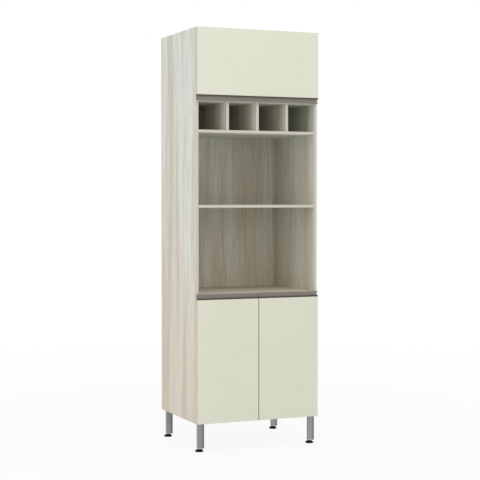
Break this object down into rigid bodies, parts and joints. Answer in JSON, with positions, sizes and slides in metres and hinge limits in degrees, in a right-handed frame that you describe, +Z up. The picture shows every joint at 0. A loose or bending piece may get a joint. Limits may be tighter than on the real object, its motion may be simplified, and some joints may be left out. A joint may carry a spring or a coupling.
{
  "type": "tall kitchen cabinet",
  "caption": "Tall kitchen cabinet on levelling legs, with a lift-up flap, bottle cells, open and oven niches, and a two-door base cupboard with aluminium handles.",
  "frame": {"origin": "on the floor, under the middle of the whole cabinet's width and depth", "axes": "+Z up, +X to the right seen from the front, -Y out of the front"},
  "size_m": [0.7, 0.556, 2.22],
  "materials": {
    "oak_board": "melamine-faced board with a pale streaked wood print, matt",
    "back_sheet": "thin fibreboard with the same printed grain, matt",
    "cream_door": "cream melamine-faced board, satin",
    "anodised_aluminium": "extruded, satin anodised",
    "plated_steel": "nickel-plated pressed steel",
    "black_tube": "black enamelled steel tube",
    "black_plastic": "moulded, matt",
    "grey_plastic": "moulded, matt",
    "clear_bumper": "soft clear vinyl"
  },
  "bodies": {
    "carcass": {"left_side_panel": "oak_board", "right_side_panel": "oak_board", "top_panel": "oak_board", "bottom_panel": "oak_board", "upper_floor": "oak_board", "bottle_shelf": "oak_board", "left_bottle_divider": "oak_board", "middle_bottle_divider": "oak_board", "right_bottle_divider": "oak_board", "middle_shelf": "oak_board", "oven_deck": "oak_board", "loose_shelf": "oak_board", "upper_back_panel": "back_sheet", "niche_back_panel": "back_sheet", "lower_back_panel": "back_sheet", "rear_rail": "oak_board", "wall_plates": "plated_steel", "cam_locks": "plated_steel", "cam_bolts": "plated_steel", "shelf_pegs": "plated_steel", "door_bumpers": "clear_bumper", "carcass_screws": "plated_steel", "back_panel_nails": "plated_steel", "leg_plates": "plated_steel", "leg_plugs": "grey_plastic", "front_left_leg": "anodised_aluminium", "front_right_leg": "anodised_aluminium", "rear_left_leg": "anodised_aluminium", "rear_right_leg": "anodised_aluminium", "hinge_arms": "plated_steel", "strut_side_brackets": "plated_steel"},
    "flap": {"flap_panel": "cream_door", "flap_handle": "anodised_aluminium", "flap_hinge_cups": "plated_steel", "flap_strut_brackets": "plated_steel", "flap_screws": "plated_steel"},
    "left_door": {"left_door_panel": "cream_door", "left_door_handle": "anodised_aluminium", "left_door_hinge_cups": "plated_steel", "left_door_screws": "plated_steel"},
    "right_door": {"right_door_panel": "cream_door", "right_door_handle": "anodised_aluminium", "right_door_hinge_cups": "plated_steel", "right_door_screws": "plated_steel"},
    "flap_links": {"flap_hinge_links": "plated_steel"},
    "left_door_links": {"left_door_hinge_links": "plated_steel"},
    "right_door_links": {"right_door_hinge_links": "plated_steel"},
    "left_tube": {"left_strut_tube": "black_tube"},
    "right_tube": {"right_strut_tube": "black_tube"},
    "left_rod": {"left_strut_rod": "plated_steel"},
    "right_rod": {"right_strut_rod": "plated_steel"},
    "front_left_leveller": {"front_left_stud": "plated_steel", "front_left_foot": "black_plastic"},
    "front_right_leveller": {"front_right_stud": "plated_steel", "front_right_foot": "black_plastic"},
    "rear_left_leveller": {"rear_left_stud": "plated_steel", "rear_left_foot": "black_plastic"},
    "rear_right_leveller": {"rear_right_stud": "plated_steel", "rear_right_foot": "black_plastic"}
  },
  "joints": [
    {"name": "flap_hinge", "type": "hinge", "parent": "carcass", "child": "flap", "pos_m": [0, -0.272, 2.215], "axis": [-1, 0, 0], "range_deg": [0, 90]},
    {"name": "left_door_hinge", "type": "hinge", "parent": "carcass", "child": "left_door", "pos_m": [-0.345, -0.272, 0.476], "axis": [0, 0, -1], "range_deg": [0, 100]},
    {"name": "right_door_hinge", "type": "hinge", "parent": "carcass", "child": "right_door", "pos_m": [0.345, -0.272, 0.476], "axis": [0, 0, 1], "range_deg": [0, 100]},
    {"name": "flap_link_turn", "type": "hinge", "parent": "carcass", "child": "flap_links", "pos_m": [0, -0.27, 2.186], "axis": [-1, 0, 0], "range_deg": [-28.34, 0]},
    {"name": "left_link_turn", "type": "hinge", "parent": "carcass", "child": "left_door_links", "pos_m": [-0.316, -0.27, 0.476], "axis": [0, 0, -1], "range_deg": [-28.89, 0]},
    {"name": "right_link_turn", "type": "hinge", "parent": "carcass", "child": "right_door_links", "pos_m": [0.316, -0.27, 0.476], "axis": [0, 0, 1], "range_deg": [-28.89, 0]},
    {"name": "left_strut_turn", "type": "hinge", "parent": "carcass", "child": "left_tube", "pos_m": [-0.321, -0.065, 2.14], "axis": [-1, 0, 0], "range_deg": [0, 1.62]},
    {"name": "left_strut_slide", "type": "slide", "parent": "left_tube", "child": "left_rod", "axis": [0, -0.9851, 0.1723], "range_m": [0, 0.0694]},
    {"name": "right_strut_turn", "type": "hinge", "parent": "carcass", "child": "right_tube", "pos_m": [0.321, -0.065, 2.14], "axis": [-1, 0, 0], "range_deg": [0, 1.62]},
    {"name": "right_strut_slide", "type": "slide", "parent": "right_tube", "child": "right_rod", "axis": [0, -0.9851, 0.1723], "range_m": [0, 0.0694]},
    {"name": "front_left_level", "type": "slide", "parent": "carcass", "child": "front_left_leveller", "axis": [0, 0, 1], "range_m": [-0.015, 0]},
    {"name": "front_right_level", "type": "slide", "parent": "carcass", "child": "front_right_leveller", "axis": [0, 0, 1], "range_m": [-0.015, 0]},
    {"name": "rear_left_level", "type": "slide", "parent": "carcass", "child": "rear_left_leveller", "axis": [0, 0, 1], "range_m": [-0.015, 0]},
    {"name": "rear_right_level", "type": "slide", "parent": "carcass", "child": "rear_right_leveller", "axis": [0, 0, 1], "range_m": [-0.015, 0]}
  ],
  "couplings": [
    {"joint": "flap_link_turn", "follows": "flap_hinge", "ratio": -0.31468},
    {"joint": "left_link_turn", "follows": "left_door_hinge", "ratio": -0.28871},
    {"joint": "right_link_turn", "follows": "right_door_hinge", "ratio": -0.28871},
    {"joint": "left_strut_turn", "follows": "flap_hinge", "ratio": 0.01791},
    {"joint": "left_strut_slide", "follows": "flap_hinge", "m_per_rad": 0.04416},
    {"joint": "right_strut_turn", "follows": "flap_hinge", "ratio": 0.01791},
    {"joint": "right_strut_slide", "follows": "flap_hinge", "m_per_rad": 0.04416}
  ]
}
